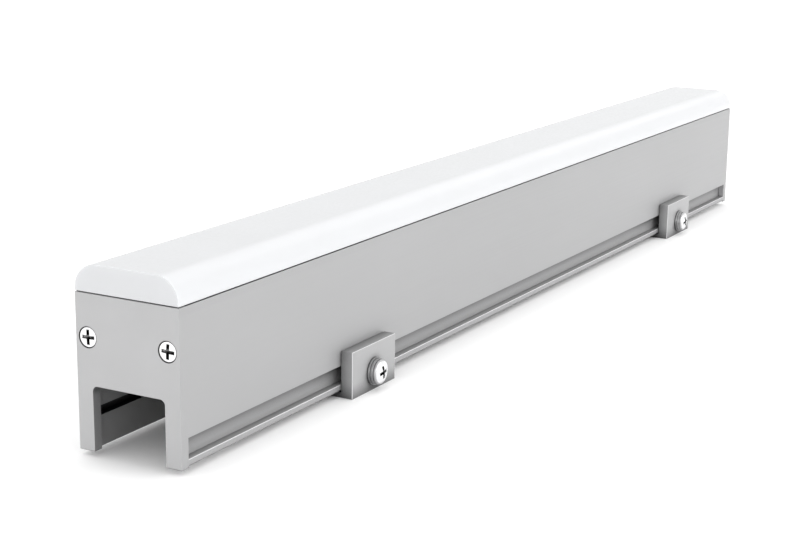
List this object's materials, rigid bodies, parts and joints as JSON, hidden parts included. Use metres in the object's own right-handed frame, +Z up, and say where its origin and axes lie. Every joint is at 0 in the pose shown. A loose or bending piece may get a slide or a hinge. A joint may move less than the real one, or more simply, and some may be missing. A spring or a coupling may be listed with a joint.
{
  "type": "outdoor wall washer light",
  "caption": "Straight linear light with an opal cover on an aluminium housing, an open cable channel below, and sliding clamp brackets.",
  "frame": {"origin": "middle of the light's length and width, on the surface that the brackets' bases stand on", "axes": "+X along the light from its near end to its far end, +Y across it, +Z up through the cover"},
  "size_m": [0.5, 0.058, 0.063],
  "materials": {
    "housing_aluminium": "extruded, satin silver anodised",
    "cap_aluminium": "cast plate, fine satin silver",
    "bracket_aluminium": "sawn extrusion, satin silver anodised",
    "opal_plastic": "opal white acrylic, satin",
    "silicone": "dark grey silicone, matt",
    "black_rubber": "black, matt",
    "stainless_steel": "bright stainless steel",
    "washer_steel": "zinc-plated steel, dull",
    "light_board": "aluminium-core board, white solder mask",
    "emitter": "white package, yellow phosphor",
    "thermal_silicone": "soft pad, matt",
    "wire_jacket": "extruded jacket",
    "circuit_board": "glass-fibre board, green solder mask",
    "insulating_film": "amber film",
    "terminal_plastic": "moulded",
    "capacitor_sleeve": "shrunk sleeve on an aluminium can",
    "ferrite": "matt",
    "component_plastic": "moulded epoxy",
    "fuse_ceramic": "ceramic tube, plated caps",
    "socket_plastic": "moulded",
    "gland_nylon": "moulded nylon, light grey",
    "vent_fabric": "porous white membrane"
  },
  "bodies": {
    "lamp": {"housing_profile": "housing_aluminium", "near_end_cap": "cap_aluminium", "far_end_cap": "cap_aluminium", "near_end_gasket": "silicone", "far_end_gasket": "silicone", "near_cap_screws": "stainless_steel", "far_cap_screws": "stainless_steel", "diffuser_cover": "opal_plastic", "cover_gasket": "silicone", "led_board": "light_board", "led_emitters": "emitter", "led_board_screws": "stainless_steel", "thermal_pad": "thermal_silicone", "wire_grommet": "black_rubber", "lead_wires": "wire_jacket", "driver_board": "circuit_board", "insulating_sheet": "insulating_film", "near_terminal_block": "terminal_plastic", "far_terminal_block": "terminal_plastic", "capacitors": "capacitor_sleeve", "power_inductor": "ferrite", "switching_transistor": "component_plastic", "control_chip": "component_plastic", "board_fuse": "fuse_ceramic", "output_socket": "socket_plastic", "near_gland_body": "gland_nylon", "near_gland_seal": "black_rubber", "near_gland_nut": "gland_nylon", "near_gland_locknut": "gland_nylon", "near_gland_washer": "black_rubber", "far_gland_body": "gland_nylon", "far_gland_seal": "black_rubber", "far_gland_nut": "gland_nylon", "far_gland_locknut": "gland_nylon", "far_gland_washer": "black_rubber", "vent_plug": "gland_nylon", "vent_seal": "black_rubber", "vent_membrane": "vent_fabric"},
    "near_clamp": {"near_bracket": "bracket_aluminium", "near_bracket_screws": "stainless_steel", "near_spring_washers": "washer_steel", "near_flat_washers": "washer_steel"},
    "far_clamp": {"far_bracket": "bracket_aluminium", "far_bracket_screws": "stainless_steel", "far_spring_washers": "washer_steel", "far_flat_washers": "washer_steel"}
  },
  "joints": [
    {"name": "near_clamp_slide", "type": "slide", "parent": "lamp", "child": "near_clamp", "axis": [1, 0, 0], "range_m": [-0.102, 0.125]},
    {"name": "far_clamp_slide", "type": "slide", "parent": "lamp", "child": "far_clamp", "axis": [1, 0, 0], "range_m": [-0.1455, 0.0815]}
  ]
}
